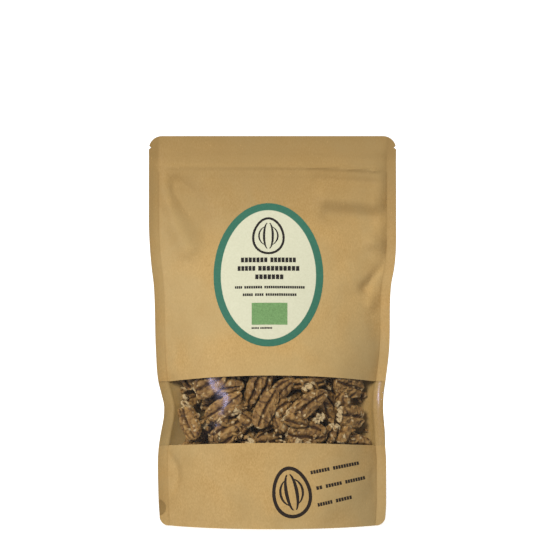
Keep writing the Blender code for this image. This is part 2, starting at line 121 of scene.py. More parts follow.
key = add_lamp("key", (-0.40, -1.19, 0.54), (0, 0, 0.1), (0.34, 0.34), 14.5, (1.0, 0.985, 0.95))
key.visible_glossy = False  # flagged off the film, so that only the glint lamp draws highlights
glint = add_lamp("glint", (-0.85, -0.95, 0.13), (0, 0, 0.07), (0.16, 0.24), 2.6, (0.56, 0.58, 1.0))
glint.visible_diffuse = False
add_lamp("back", (1.0, 1.35, 0.9), (0, 0, 0.1), (0.5, 0.5), 15, (1.0, 0.985, 0.95))
sky = bpy.data.worlds.new("sky")
bpy.context.scene.world = sky
sky.use_nodes = True
sky.node_tree.nodes["Background"].inputs["Color"].default_value = (1, 1, 1, 1)
sky.node_tree.nodes["Background"].inputs["Strength"].default_value = 0.36
print("3 lamps and a plain sky")

# %% [markdown]
# ## The shape of the sheets
# A sheet is described by x, across the pouch, and t, the height measured up the flat sheet. Four curves
# by height give the pouch its form: how far its edges are drawn in as it fills, how far its front and
# back bulge, how square that bulge is, and how much a level line of the sheet bows upwards in the middle.
# They are the CAD model's own curves, but the bulge closes more gently above the zip. Soft folds, dents
# and the puckers beside the welds are added here, because they are too fine for the CAD model.

# %% The curves by height
POUCH_HEIGHT, SIDE_SEAL = 220.5, 5.5
WINDOW_BOTTOM, WINDOW_TOP = 45.4, 81.6
ZIP_HEIGHT, TEAR_NOTCH_HEIGHT = 203.0, 214.0
SIDES = [
    (0, 63.8, 63.8), (13, 64.4, 64.4), (36, 64.9, 64.4), (45, 64.4, 63.9), (54, 63.0, 63.6),
    (61, 61.7, 63.0), (67, 61.4, 62.7), (75, 63.0, 63.0), (82, 64.7, 64.0), (99, 66.0, 66.0),
    (136, 67.2, 67.2), (146, 68.4, 69.0), (156, 69.3, 69.9), (172, 70.0, 70.0), (220.5, 70.0, 70.0),
]
BULGE = [
    (0, 21.5, 19.5), (12, 22.3, 20.0), (36, 23.0, 20.5), (62, 25.3, 22.0), (84, 23.0, 20.5),
    (100, 19.8, 18.0), (118, 16.3, 15.0), (136, 12.3, 11.5), (154, 7.4, 7.0), (172, 3.2, 3.2),
    (188, 1.8, 1.8), (197, 1.75, 1.75), (208, 1.6, 1.6), (219, 0.0, 0.0), (220.5, 0.0, 0.0),
]
SQUARENESS = [
    (0, 2.3), (40, 2.9), (95, 2.9), (130, 2.4), (160, 3.0), (185, 9.0), (197, 24.0), (220.5, 24.0),
]
BOW = [(0, 0.0), (20, 1.2), (45.4, 2.8), (81.6, 4.0), (110, 3.2), (150, 1.4), (190, 0.3), (220.5, 0.0)]
BOW_POWER = 2.2
FRONT_FIN, BACK_FIN = 0.35, 0.55  # depth of the outer faces at the side welds


def smooth_through(stations, column, at):
    """A smooth curve through (height, value) stations, read at the heights in at: cubic Hermite pieces
    whose slope at a station is zero at a peak and otherwise the mean of its neighbours' slopes."""
    heights = np.array([s[0] for s in stations], float)
    values = np.array([s[column] for s in stations], float)
    steps = np.diff(values) / np.diff(heights)
    slopes = np.zeros_like(values)
    slopes[1:-1] = np.where(steps[:-1] * steps[1:] > 0, 0.5 * (steps[:-1] + steps[1:]), 0.0)
    at = np.clip(np.asarray(at, float), heights[0], heights[-1])
    i = np.clip(np.searchsorted(heights, at, side="right") - 1, 0, len(heights) - 2)
    span = heights[i + 1] - heights[i]
    s = (at - heights[i]) / span
    return (
        (2 * s**3 - 3 * s**2 + 1) * values[i]
        + (s**3 - 2 * s**2 + s) * span * slopes[i]
        + (3 * s**2 - 2 * s**3) * values[i + 1]
        + (s**3 - s**2) * span * slopes[i + 1]
    )


def seal_line(x, t):
    """Distance from the middle to the inner line of the side weld, on the side that x is on."""
    left = smooth_through(SIDES, 1, t) - SIDE_SEAL
    right = smooth_through(SIDES, 2, t) - SIDE_SEAL
    return np.where(np.asarray(x) < 0, left, right)


def share_across(x, t):
    """0 at the middle of the pouch, 1 at the inner line of the side weld and beyond."""
    return np.minimum(np.abs(x) / seal_line(x, t), 1.0)


print("bulge at the window in mm", float(smooth_through(BULGE, 1, 62)))

# %% [markdown]
# ## Folds, dents and puckers
# Paper does not stretch, so where the full pouch narrows to its flat mouth it takes up the slack in soft
# diagonal folds, and beside the welds in short puckers. Each fold is a bell-shaped ridge along a short
# line. The zip shows through as a thin level ridge. The corners below the gusset's curved weld are
# pressed flat.

# %% Relief of the front sheets
FOLDS = [  # (x, t) of both ends, half width across, height outwards
    ((-66, 196), (-48, 156), 5.4, 2.5),
    ((-55, 196), (-32, 158), 7.0, -3.0),
    ((-40, 196), (-24, 182), 7.0, 1.0),
    ((30, 185), (67, 182), 5.0, 2.7),
    ((26, 197), (68, 194), 3.6, -1.7),
    ((32, 175), (68, 173), 5.6, -2.2),
    ((56, 160), (70, 157), 4.2, 2.7),
    ((63, 202), (64, 156), 5.5, 2.8),
    ((70, 154), (52, 134), 3.0, -2.4),
    ((70, 145), (57, 125), 3.8, 1.8),
    ((58, 118), (66, 96), 4.5, -0.9),
    ((-66, 122), (-54, 96), 5.0, -0.9),
    ((-20, 40), (8, 18), 13.0, -0.7),
]
CORNER_PRESS = [(-66.0, 28.5, 14.5, 2.0), (67.0, 27.0, 12.0, 1.0)]  # middle (x, t), radius, depth
LABEL_WIDTH, LABEL_HEIGHT, LABEL_CENTRE = 61.5, 84.0, (-2.3, 140.0)


def smooth_step(low, high, value):
    """0 below low, 1 above high, and an S-shaped rise between."""
    s = np.clip((value - low) / (high - low), 0, 1)
    return s * s * (3 - 2 * s)


def waves(points, wavelengths, seed, count=14):
    """Smooth random field, about -1 to 1: the mean of sine waves in random directions, one per row of
    wavelength, at points of two or three coordinates."""
    random = np.random.default_rng(seed)
    ways = random.normal(size=(count, points.shape[-1]))
    ways /= np.linalg.norm(ways, axis=1, keepdims=True)
    ways *= 2 * np.pi / random.uniform(*wavelengths, size=(count, 1))
    phases = random.uniform(0, 2 * np.pi, count)
    return np.sin(points @ ways.T + phases).sum(-1) / math.sqrt(0.5 * count) / 1.6


def label_radius(x, t):
    """0 at the label's middle and 1 on its rim."""
    return np.hypot(2 * (x - LABEL_CENTRE[0]) / LABEL_WIDTH, 2 * (t - LABEL_CENTRE[1]) / LABEL_HEIGHT)


def fold_height(x, t, fold):
    """Height of one soft fold: a bell across its line, fading out at both ends."""
    (x0, t0), (x1, t1), half_width, height = fold
    dx, dt = x1 - x0, t1 - t0
    length = math.hypot(dx, dt)
    along = ((x - x0) * dx + (t - t0) * dt) / length**2
    across = ((x - x0) * dt - (t - t0) * dx) / length
    past_end = np.maximum(np.abs(along - 0.5) - 0.5, 0.0) * length
    return height * np.exp(-(across**2 + past_end**2) / half_width**2)


def in_window(t):
    """1 at the heights of the window band and 0 beyond it, with soft ends."""
    rise = smooth_step(WINDOW_BOTTOM - 2, WINDOW_BOTTOM + 4, t)
    return rise * smooth_step(WINDOW_TOP + 2, WINDOW_TOP - 4, t)


def puckers(x, t, seed):
    """Short ridges square to the side welds that die out within a few millimetres."""
    inside = seal_line(x, t) - np.abs(x)
    side = np.where(x < 0, 0.0, 400.0)
    ridges = waves(np.stack([t + side + 0.25 * inside, 0 * t], axis=-1), (7, 16), seed)
    strength = np.exp(-np.maximum(inside, 0) / 7.0) * smooth_step(0, 2.5, inside)
    return (0.55 - 0.35 * in_window(t)) * ridges * strength


def zip_relief(x, t):
    """The zip's flanges lift the sheet a little, and its lock draws one thin ridge."""
    line = ZIP_HEIGHT - 0.0006 * np.maximum(x, 0) ** 2
    flange = 0.25 * smooth_step(6.4, 4.6, np.abs(t - line))
    lock = (0.95 + 0.007 * x) * np.exp(-(((t - line) / 1.0) ** 2))
    return (flange + lock) * smooth_step(64, 58, np.abs(x))


def front_relief(x, t):
    """Everything that the front has on top of its plain bulge, in millimetres outwards."""
    off_label = smooth_step(0.95, 1.35, label_radius(x, t))
    folds = sum(fold_height(x, t, fold) for fold in FOLDS)
    ripple = 0.22 * waves(np.stack([x, t], axis=-1), (18, 34), 3)
    below_mouth = smooth_step(203, 190, t)
    height = (folds + ripple) * (0.12 + 0.88 * off_label) * below_mouth
    for middle_x, middle_t, radius, depth in CORNER_PRESS:
        r = np.hypot(x - middle_x, t - middle_t) / radius
        height = height - depth * smooth_step(1.12, 0.86, r)
    height = height + 0.07 * in_window(t) * waves(np.stack([x, 1.6 * t], axis=-1), (8, 18), 8)
    return height + puckers(x, t, 5) + zip_relief(x, t)


def back_relief(x, t):
    """Ripples and puckers of the back, and the zip."""
    folds = 0.6 * waves(np.stack([x, t], axis=-1), (22, 48), 12) * smooth_step(203, 180, t)
    return folds + puckers(x, t, 15) + zip_relief(x, t)


print("deepest fold", min(fold[3] for fold in FOLDS), "mm")

# %% Points of the walls


def wall_depth(x, t, side):
    """Depth of the outer face of the front film (side 1) or the back (side 2) from the welded plane."""
    share = share_across(x, t)
    bulge = smooth_through(BULGE, side, t) * (1 - share ** smooth_through(SQUARENESS, 1, t))
    relief = front_relief(x, t) if side == 1 else back_relief(x, t)
    fade = np.clip(9 * (1 - share), 0, 1) * smooth_step(0, 5, t) * smooth_step(219.5, 213, t)
    return (FRONT_FIN if side == 1 else BACK_FIN) + np.maximum(bulge + fade * relief, 0.0)


def level_height(x, t):
    """World height of the sheet's point (x, t): level lines of the flat sheet bow upwards in the middle."""
    return t + smooth_through(BOW, 1, t) * (1 - share_across(x, t) ** BOW_POWER)


def sway(x, t):
    """How far both sheets move together: the welded edges curl forwards and waver, and the mouth leans
    forwards above the zip."""
    side = np.where(np.asarray(x) < 0, -1.0, 1.0)
    beyond = np.maximum(np.abs(x) - seal_line(x, t) + 1.5, 0)
    curl = -0.05 * beyond**2 * smooth_step(240, 180, t) * smooth_step(0, 16, t)
    out = smooth_step(0.8, 1.15, np.abs(x) / seal_line(x, t))
    waver = out * (0.35 * np.sin(t / 21 + side) + 0.2 * np.sin(t / 9.5 - 2 * side)) * smooth_step(0, 12, t)
    past_zip = np.maximum(t - 207.0, 0)
    lean = -0.25 * past_zip**2 / (past_zip + 2.5)
    return curl + waver + lean


def wall_point(x, t, side):
    """Points of a wall's outer face, in millimetres, in the row frame."""
    x, t = np.broadcast_arrays(np.asarray(x, float), np.asarray(t, float))
    depth = wall_depth(x, t, side) * (-1 if side == 1 else 1)
    return np.stack([x, middle_plane + depth + sway(x, t), level_height(x, t)], axis=-1)


def wall_normal(x, t, side):
    """Unit outward normals of a wall, from two short steps along it."""
    x, t = np.broadcast_arrays(np.asarray(x, float), np.asarray(t, float))
    step = 0.4
    across = wall_point(x + step, t, side) - wall_point(x - step, t, side)
    up = wall_point(x, t + step, side) - wall_point(x, t - step, side)
    normal = np.cross(across, up) * (1 if side == 1 else -1)
    return normal / np.linalg.norm(normal, axis=-1, keepdims=True)


def off_wall(x, t, side, stand_off):
    """Points that stand off a wall's outer face by stand_off along its normals."""
    return wall_point(x, t, side) + stand_off * wall_normal(x, t, side)


print("front of the pouch at", round(float(wall_point(0, 62, 1)[1]), 1), "mm")

# %% [markdown]
# ## From grids to closed sheets
# Every piece below is a grid of points. One helper turns a grid into quads. Another closes two grids, an
# outer and an inner face, into one thin solid by stitching their rims, which keeps the edge of the paper
# crisp and leaves no open seam.

# %% Mesh helpers


def grid_quads(rows, columns, wrap=False):
    """Corner numbers of the quads of a grid; wrap joins the last column to the first."""
    ids = np.arange(rows * columns).reshape(rows, columns)
    left = ids if wrap else ids[:, :-1]
    right = np.roll(ids, -1, axis=1) if wrap else ids[:, 1:]
    return np.stack([left[:-1], right[:-1], right[1:], left[1:]], axis=-1).reshape(-1, 4)


def add_piece(name, points, faces, material, values=None):
    """A smooth-shaded object from points in millimetres and faces, with named numbers at its points."""
    mesh = bpy.data.meshes.new(name)
    faces = faces if isinstance(faces, list) else faces.tolist()
    mesh.from_pydata((np.asarray(points).reshape(-1, 3) * MM).tolist(), [], faces)
    for label, numbers in (values or {}).items():
        attribute = mesh.attributes.new(label, "FLOAT", "POINT")
        attribute.data.foreach_set("value", np.asarray(numbers, np.float32).ravel())
    mesh.materials.append(material)
    mesh.shade_smooth()
    made = bpy.data.objects.new(name, mesh)
    bpy.context.scene.collection.objects.link(made)
    return made


def closed_faces(rows, columns):
    """Faces of a thin solid between an outer grid and an inner grid of the same size, rim included."""
    count = rows * columns
    outer = grid_quads(rows, columns)
    ids = np.arange(count).reshape(rows, columns)
    rim = np.concatenate([ids[0, :-1], ids[:-1, -1], ids[-1, :0:-1], ids[:0:-1, 0]])
    ahead = np.roll(rim, -1)
    side = np.stack([rim, rim + count, ahead + count, ahead], axis=1)
    return np.concatenate([outer, outer[:, ::-1] + count, side])


def sharpen_rim(piece, angle=50):
    """Keeps a hard edge where a sheet's faces meet its rim."""
    mesh = bmesh.new()
    mesh.from_mesh(piece.data)
    for edge in mesh.edges:
        edge.smooth = edge.calc_face_angle(0) < math.radians(angle)
    mesh.to_mesh(piece.data)
    mesh.free()


print("closed 3 x 3 sheet:", len(closed_faces(3, 3)), "faces")

# %% [markdown]
# ## Kraft paper
# Kraft is unbleached, so it keeps the colour of wood and shows its fibres: a fine even mottle, scattered
# darker and paler flecks, and a faint drift of tone over a hand's width. It could be one noise, but three
# at different sizes read as paper at any distance. The surface is matt, with a soft sheen because a thin
# film lines it.

# %% Shader helpers


def new_material(name, roughness=0.5):
    """A material and its main shader."""
    made = bpy.data.materials.new(name)
    made.use_nodes = True
    shader = made.node_tree.nodes["Principled BSDF"]
    shader.inputs["Roughness"].default_value = roughness
    return made, made.node_tree, shader


def add_node(tree, kind, **settings):
    """A node with its inputs set: a number or colour is stored, a socket is linked."""
    node = tree.nodes.new(kind)
    for key, value in settings.items():
        target = node.inputs[key.replace("_", " ")] if key.replace("_", " ") in node.inputs else None
        if target is None:
            setattr(node, key, value)
        elif isinstance(value, bpy.types.NodeSocket):
            tree.links.new(value, target)
        else:
            target.default_value = value
    return node


def noise(tree, scale, detail=3.0, stretch=None, **settings):
    """Noise over Object coordinates, per metre; stretch scales the axes one by one."""
    place = add_node(tree, "ShaderNodeTexCoord").outputs["Object"]
    if stretch:
        mapping = add_node(tree, "ShaderNodeMapping", Scale=stretch)
        tree.links.new(place, mapping.inputs["Vector"])
        place = mapping.outputs["Vector"]
    node = add_node(tree, "ShaderNodeTexNoise", Vector=place, Scale=scale, Detail=detail, **settings)
    return node.outputs["Fac"]


def ramp(tree, value, stops):
    """Colours by value: (position, colour) stops."""
    node = add_node(tree, "ShaderNodeValToRGB", Fac=value)
    while len(node.color_ramp.elements) < len(stops):
        node.color_ramp.elements.new(0.5)
    for element, (position, colour) in zip(node.color_ramp.elements, stops):
        element.position = position
        element.color = (*colour, 1.0)
    return node.outputs["Color"]


def mix_colour(tree, share, first, second, blend="MIX"):
    """Mixes two colours; share may be a number or a socket."""
    node = tree.nodes.new("ShaderNodeMix")
    node.data_type, node.blend_type = "RGBA", blend
    for index, value in ((0, share), (6, first), (7, second)):
        if isinstance(value, bpy.types.NodeSocket):
            tree.links.new(value, node.inputs[index])
        else:
            node.inputs[index].default_value = value if index == 0 else (*value, 1.0)
    return node.outputs[2]


def between(tree, value, low, high, out_low, out_high):
    """Maps low..high to out_low..out_high and holds the ends."""
    node = tree.nodes.new("ShaderNodeMapRange")
    tree.links.new(value, node.inputs["Value"])
    for key, number in zip(("From Min", "From Max", "To Min", "To Max"), (low, high, out_low, out_high)):
        node.inputs[key].default_value = number
    return node.outputs["Result"]


def number(tree, name):
    """A number stored at the mesh's points."""
    return add_node(tree, "ShaderNodeAttribute", attribute_name=name).outputs["Fac"]


def add_bump(tree, shader, height, strength, distance):
    """Fine relief from a height value."""
    bump = add_node(tree, "ShaderNodeBump", Height=height, Strength=strength, Distance=distance)
    tree.links.new(bump.outputs["Normal"], shader.inputs["Normal"])


print("shader helpers ready")

# %% Kraft paper
KRAFT_LIGHT, KRAFT_DARK = (0.585, 0.385, 0.155), (0.455, 0.285, 0.100)
KRAFT_GREY = (0.470, 0.345, 0.160)


def kraft_material(name, tone=1.0):
    """Brown kraft: fine mottle, drift of tone, dark and pale flecks, and darker where the mesh says shade."""
    made, tree, shader = new_material(name, 0.62)
    light = tuple(tone * c for c in KRAFT_LIGHT)
    dark = tuple(tone * c for c in KRAFT_DARK)
    fine = noise(tree, 1500, 4.0, stretch=(1.0, 1.0, 0.55))
    paper = ramp(tree, fine, [(0.3, dark), (0.72, light)])
    drift = between(tree, noise(tree, 26, 3.0, Distortion=0.6), 0.36, 0.64, 0.0, 0.62)
    paper = mix_colour(tree, drift, paper, tuple(tone * c for c in KRAFT_GREY))
    blotch = between(tree, noise(tree, 90, 3.0), 0.45, 0.75, 0.0, 0.3)
    paper = mix_colour(tree, blotch, paper, tuple(0.9 * c for c in dark))
    # painted shade from the mesh's shade number (mouth, weld creases, half-moon), with the pressed welds' own
    # darker tone
    paper = mix_colour(tree, number(tree, "shade"), paper, tuple(0.62 * c for c in dark))
    dark_fleck = between(tree, noise(tree, 1150, 2.0, stretch=(0.6, 1.0, 1.6)), 0.70, 0.78, 0.0, 0.55)
    paper = mix_colour(tree, dark_fleck, paper, tuple(0.62 * c for c in dark))
    pale_fleck = between(tree, noise(tree, 820, 2.0, stretch=(1.7, 1.0, 0.7)), 0.70, 0.78, 0.0, 0.5)
    paper = mix_colour(tree, pale_fleck, paper, tuple(min(1.22 * c, 1) for c in light))
    tree.links.new(paper, shader.inputs["Base Color"])
    shine = between(tree, fine, 0.3, 0.7, 0.7, 0.56)
    tree.links.new(shine, shader.inputs["Roughness"])
    shader.inputs["Specular IOR Level"].default_value = 0.35
    add_bump(tree, shader, fine, 0.35, 0.00012)
    return made


kraft = kraft_material("kraft")
kraft_back = kraft_material("kraft_back", 0.97)
print("materials", kraft.name, kraft_back.name)

# %% [markdown]
# ## Clear film
# The window is a thin clear film. Glass would bend what is behind it, and a sheet this thin does not, so
# it is a see-through shader with a glossy one laid over it, stronger at glancing angles. The share
# follows the angle alone, the same from both faces of the film, so lamps reach what is inside. Small
# waves in the film, from its geometry and a little bump, break the lamps' reflections into patches.

# %% Film material


def film_material():
    """See-through film whose gloss follows the angle of view."""
    made = bpy.data.materials.new("clear_film")
    made.use_nodes = True
    tree = made.node_tree
    tree.nodes.remove(tree.nodes["Principled BSDF"])
    clear = add_node(tree, "ShaderNodeBsdfTransparent", Color=(0.985, 0.985, 0.975, 1))
    gloss = add_node(tree, "ShaderNodeBsdfGlossy", Color=(1, 1, 1, 1), Roughness=0.17)
    bump = add_node(
        tree, "ShaderNodeBump", Height=noise(tree, 70, 1.0, stretch=(1, 1, 0.7)), Strength=0.6, Distance=0.001
    )
    tree.links.new(bump.outputs["Normal"], gloss.inputs["Normal"])
    angle = add_node(tree, "ShaderNodeLayerWeight", Blend=0.5)
    share = between(tree, angle.outputs["Facing"], 0.5, 1.0, 0.013, 0.26)
    mix = add_node(tree, "ShaderNodeMixShader", Fac=share)
    tree.links.new(clear.outputs["BSDF"], mix.inputs[1])
    tree.links.new(gloss.outputs["BSDF"], mix.inputs[2])
    tree.links.new(mix.outputs["Shader"], tree.nodes["Material Output"].inputs["Surface"])
    return made


film = film_material()
print("material", film.name)

# %% [markdown]
# ## The four outer sheets
# The back and the film run from the bottom edge to the mouth. The lower and upper kraft sheets cover the
# film below and above the window. All are cut together, so they share the outline: rounded corners, a
# tear notch on each side below the top, and a half-moon punched out of the front sheets, where the back
# shows through.

# %% Outline of the cut sheets
TOP_CORNER, BOTTOM_CORNER = 7.5, 5.0
NOTCH_DEPTH = 1.2
PUNCH_HEIGHT, PUNCH_RADIUS, PUNCH_OUTSIDE = 10.4, 4.7, 0.7
PUNCH_ROWS_REACH = 4.65  # just inside the radius
# How far the outer and inner face of each sheet stand off the wall's outer face
FILM_FACES, KRAFT_FACES, BACK_FACES = (0.0, -0.06), (0.30, 0.14), (0.0, -0.62)


def outline(t, column, punched):
    """Half width of a cut sheet: quarter circles at the corners, a V for the notch, an arc for the punch."""
    half = smooth_through(SIDES, column, t)
    top = np.clip(t - (POUCH_HEIGHT - TOP_CORNER), 0, TOP_CORNER)
    half = half - TOP_CORNER + np.sqrt(TOP_CORNER**2 - top**2)
    low = np.clip(BOTTOM_CORNER - t, 0, BOTTOM_CORNER)
    half = half - BOTTOM_CORNER + np.sqrt(BOTTOM_CORNER**2 - low**2)
    half = half - NOTCH_DEPTH * np.clip(1 - np.abs(t - TEAR_NOTCH_HEIGHT), 0, 1)
    if punched:
        inside = np.maximum(PUNCH_RADIUS**2 - (t - PUNCH_HEIGHT) ** 2, 0)
        half = half - np.maximum(np.sqrt(inside) - PUNCH_OUTSIDE, 0)
    return half


def levels(low, high, step):
    """Heights from low to high, with extra ones where the outline turns sharply."""
    plain = np.linspace(low, high, int(round((high - low) / step)) + 1)
    corners = POUCH_HEIGHT - TOP_CORNER * (1 - np.sin(np.linspace(0, np.pi / 2, 12)))
    notch = TEAR_NOTCH_HEIGHT + np.array([-1.0, -0.5, 0.0, 0.5, 1.0])
    punch = PUNCH_HEIGHT + PUNCH_ROWS_REACH * np.sin(np.linspace(-np.pi / 2, np.pi / 2, 25))
    foot = BOTTOM_CORNER * (1 - np.cos(np.linspace(0, np.pi / 2, 8)))
    extra = np.concatenate([corners, notch, punch, foot])
    every = np.unique(np.round(np.concatenate([plain, extra[(extra > low) & (extra < high)]]), 3))
    keep = np.concatenate([[True], np.diff(every) > 0.05])
    return every[keep]


def sheet_coordinates(t, columns, punched):
    """(x, t) of a sheet's grid: 8 columns over each side weld and the rest, closer at the sides, between."""
    inner = np.sin(np.linspace(-0.5, 0.5, columns) * math.pi * 0.86) / math.sin(0.43 * math.pi)
    weld = np.linspace(0, 1, 8, endpoint=False)
    t = t[:, None]
    left_edge, right_edge = outline(t, 1, punched), outline(t, 2, False)
    left = np.minimum(seal_line(-1, t), left_edge - 0.05)
    right = np.minimum(seal_line(1, t), right_edge - 0.05)
    middle = np.where(inner < 0, inner * left, inner * right)
    from_left = -left_edge + weld * (left_edge - left)
    from_right = right_edge - weld[::-1] * (right_edge - right)
    x = np.concatenate([from_left, middle, from_right], axis=1)
    return x, np.broadcast_to(t, x.shape)


def sheet_shade(x, t, side):
    """How much darker the paper is, at a sheet's outer and inner faces: the pressed welds; painted shade
    towards the mouth and along the crease line beside each weld; and, where the back shows in the punched
    half-moon, the gusset's darker lining with painted shade in that recess."""
    past = np.abs(x) - seal_line(x, t)
    weld = 0.16 * smooth_step(-0.8, 0.4, past)
    # painted shade: a dark line along the crease beside each weld
    crease = 0.25 * np.exp(-((past / 0.55) ** 2)) * (t < 200)
    # painted shade: the paper darkens towards the mouth, and one step more above the zip
    mouth = 0.52 * smooth_step(135, 206, t) + 0.10 * smooth_step(204, 210, t)
    shade = np.clip(weld + crease + mouth, 0, 1)
    # in the punched half-moon the back's inner face is darkened: the lining's own tone with painted shade in
    # the recess
    edge = smooth_through(SIDES, 1, t) + PUNCH_OUTSIDE
    punch = smooth_step(PUNCH_RADIUS + 0.1, PUNCH_RADIUS - 0.5, np.hypot(x + edge, t - PUNCH_HEIGHT))
    return np.stack([shade, np.maximum(shade, 0.75 * punch * (side == 2))])


def add_sheet(name, heights, columns, side, faces_off, material, punched=False):
    """A closed sheet. faces_off is how far its outer and inner faces stand off the wall's outer face."""
    x, t = sheet_coordinates(heights, columns, punched)
    outer = off_wall(x, t, side, faces_off[0])
    inner = off_wall(x, t, side, faces_off[1])
    faces = closed_faces(*x.shape)
    if side == 2:
        faces = faces[:, ::-1]
    shade = sheet_shade(x, t, side)
    made = add_piece(name, np.stack([outer, inner]), faces, material, {"shade": shade})
    sharpen_rim(made)
    return made


print("sheet grid", sheet_coordinates(levels(0, POUCH_HEIGHT, 1.2), 170, True)[0].shape)

# %% Film, kraft sheets and back
film_levels = levels(0, POUCH_HEIGHT, 1.3)
lower_levels = levels(0, WINDOW_BOTTOM, 0.7)
upper_levels = levels(WINDOW_TOP, POUCH_HEIGHT, 0.9)
clear_front = add_sheet("clear_front", film_levels, 150, 1, FILM_FACES, film, True)
lower_front = add_sheet("lower_front", lower_levels, 190, 1, KRAFT_FACES, kraft, True)
upper_front = add_sheet("upper_front", upper_levels, 190, 1, KRAFT_FACES, kraft)
back = add_sheet("back", levels(0, POUCH_HEIGHT, 1.2), 150, 2, BACK_FACES, kraft_back)
for piece, node, slot in (
    (clear_front, "front_film", "film"),
    (lower_front, "front_kraft_lower", "kraft"),
    (upper_front, "front_kraft_upper", "kraft"),
    (back, "back_wall", "kraft"),
):
    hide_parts(node)
    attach(piece, "root")
    print(piece.name, len(piece.data.polygons), "faces")

# %% [markdown]
# ## The bottom gusset
# A sheet folded like a W closes the bottom. Filled, it opens into a boat shape: pressed flat in the
# middle, where the pouch stands, and rising to a point at each end. Its legs are welded up inside the
# walls along a curve. One cross-section, swept from end to end, makes it.

# %% Gusset
GUSSET_SEAL, GUSSET_RIDGE = (5.0, 27.0, 3.0), (-6.0, 42.0, 1.8)
GUSSET_SHEET = 0.29


def gusset_height(share, curve):
    """Height of a gusset curve: its middle height plus a rise by a power of the way to the side."""
    middle, rise, power = curve
    return middle + rise * share**power


def gusset_points(stations, around, lift):
    """Cross-sections of the gusset: up the front wall, over the fold and down the back wall."""
    share = np.sin(np.linspace(-0.5, 0.5, stations) * math.pi)[:, None] * 0.985
    x = share * seal_line(share, 0)
    seal = gusset_height(np.abs(share), GUSSET_SEAL)
    ridge = gusset_height(np.abs(share), GUSSET_RIDGE)
    front = -(FRONT_FIN + (smooth_through(BULGE, 1, 0) - 0.9) * (1 - np.abs(share) ** 2.3) - 0.45)
    rear = BACK_FIN + (smooth_through(BULGE, 2, 0) - 0.9) * (1 - np.abs(share) ** 2.3) - 0.95
    over = np.linspace(-1, 1, around)[None, :]
    floor = np.maximum(seal * over**2 + ridge * (1 - over**2), 0.3)
    floor = floor + 0.25 * np.clip(floor - 0.3, 0, 1) * np.sin(x / 4.5 + 2 * over) * (1 - over**2)
    leg = np.linspace(0, 1, 7)[None, :-1]
    span_y = 0.5 * (front + rear) + 0.5 * (rear - front) * over
    y = np.concatenate([front + 0 * leg, span_y, rear + 0 * leg], axis=1)
    z = np.concatenate([0.3 + leg * (seal - 0.3), floor, 0.3 + leg[:, ::-1] * (seal - 0.3)], axis=1)
    return np.stack([x + 0 * y, middle_plane + y, z + lift], axis=-1)


upper_face = gusset_points(161, 61, 0.0)
lower_face = gusset_points(161, 61, -GUSSET_SHEET)
gusset = add_piece(
    "gusset",
    np.stack([upper_face, lower_face]),
    closed_faces(*upper_face.shape[:2]),
    kraft_back,
    {"shade": np.full((2, *upper_face.shape[:2]), 0.3)},
)
sharpen_rim(gusset)
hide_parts("bottom_gusset")
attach(gusset, "root")
print("gusset rises to", round(float(upper_face[..., 2].max()), 1), "mm")

# %% [markdown]
# ## The zip
# The press-to-close zip is two extruded strips inside the mouth. The CAD strips have the right section
# already, so they stay and take a milky plastic.

# %% Zip plastic
zip_plastic, zip_tree, zip_shader = new_material("zip_plastic", 0.35)
zip_cloud = ramp(zip_tree, noise(zip_tree, 300, 2.0), [(0.3, (0.78, 0.80, 0.79)), (0.7, (0.88, 0.89, 0.88))])
zip_tree.links.new(zip_cloud, zip_shader.inputs["Base Color"])
for name in ("zip_rib_strip", "zip_groove_strip"):
    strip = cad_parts[name]
    strip.data.materials.clear()
    strip.data.materials.append(zip_plastic)
print("zip strips finished in", zip_plastic.name)

# %% [markdown]
# ## The label
# The label is an oval of coated paper with a dark green border. Its grid is rings about the middle, laid
# on the front sheet, so the border's edge is a ring of the mesh and the colour changes exactly there.
# What is printed on it here is plain: an outline of a pecan half, rows of blocks where words would be,
# and a green panel.

# %% Label
BORDER_WIDTH = 4.05
BORDER = 0.85  # the ring of the grid where the cream starts
BORDER_SHARP = 0.004  # half the width of the colour change, in ring numbers
LABEL_AROUND, LABEL_TOP, LABEL_UNDER = 200, 0.46, 0.31


def label_material():
    """Cream coated paper with a dark green border; the border is told from the ring number."""
    made, tree, shader = new_material("label_paper", 0.45)
    fine = noise(tree, 900, 3.0)
    cream = ramp(tree, fine, [(0.3, (0.635, 0.630, 0.460)), (0.7, (0.685, 0.680, 0.508))])
    green = ramp(tree, fine, [(0.3, (0.034, 0.148, 0.096)), (0.7, (0.045, 0.174, 0.115))])
    border = between(tree, number(tree, "ring"), BORDER - BORDER_SHARP, BORDER + BORDER_SHARP, 0, 1)
    tree.links.new(mix_colour(tree, border, cream, green), shader.inputs["Base Color"])
    tree.links.new(between(tree, fine, 0.3, 0.7, 0.42, 0.52), shader.inputs["Roughness"])
    add_bump(tree, shader, fine, 0.12, 0.00008)
    return made


def label_points(rings, around, stand_off):
    """Rings of points on the front sheet. The ring numbered BORDER lies BORDER_WIDTH inside the rim all the
    way round, and the others are spread evenly between it and the middle or the rim."""
    angle = np.linspace(0, 2 * np.pi, around, endpoint=False)[None, :]
    half_wide, half_tall = 0.5 * LABEL_WIDTH, 0.5 * LABEL_HEIGHT
    to_rim = half_wide * half_tall / np.hypot(half_wide * np.sin(angle), half_tall * np.cos(angle))
    border = 1 - BORDER_WIDTH / to_rim
    rings = np.asarray(rings)[:, None]
    inner, outer = np.minimum(rings / BORDER, 1), np.maximum((rings - BORDER) / (1 - BORDER), 0)
    r = inner * border + outer * (1 - border)
    x = LABEL_CENTRE[0] + half_wide * r * np.cos(angle)
    t = LABEL_CENTRE[1] + half_tall * r * np.sin(angle)
    return off_wall(x, t, 1, stand_off)


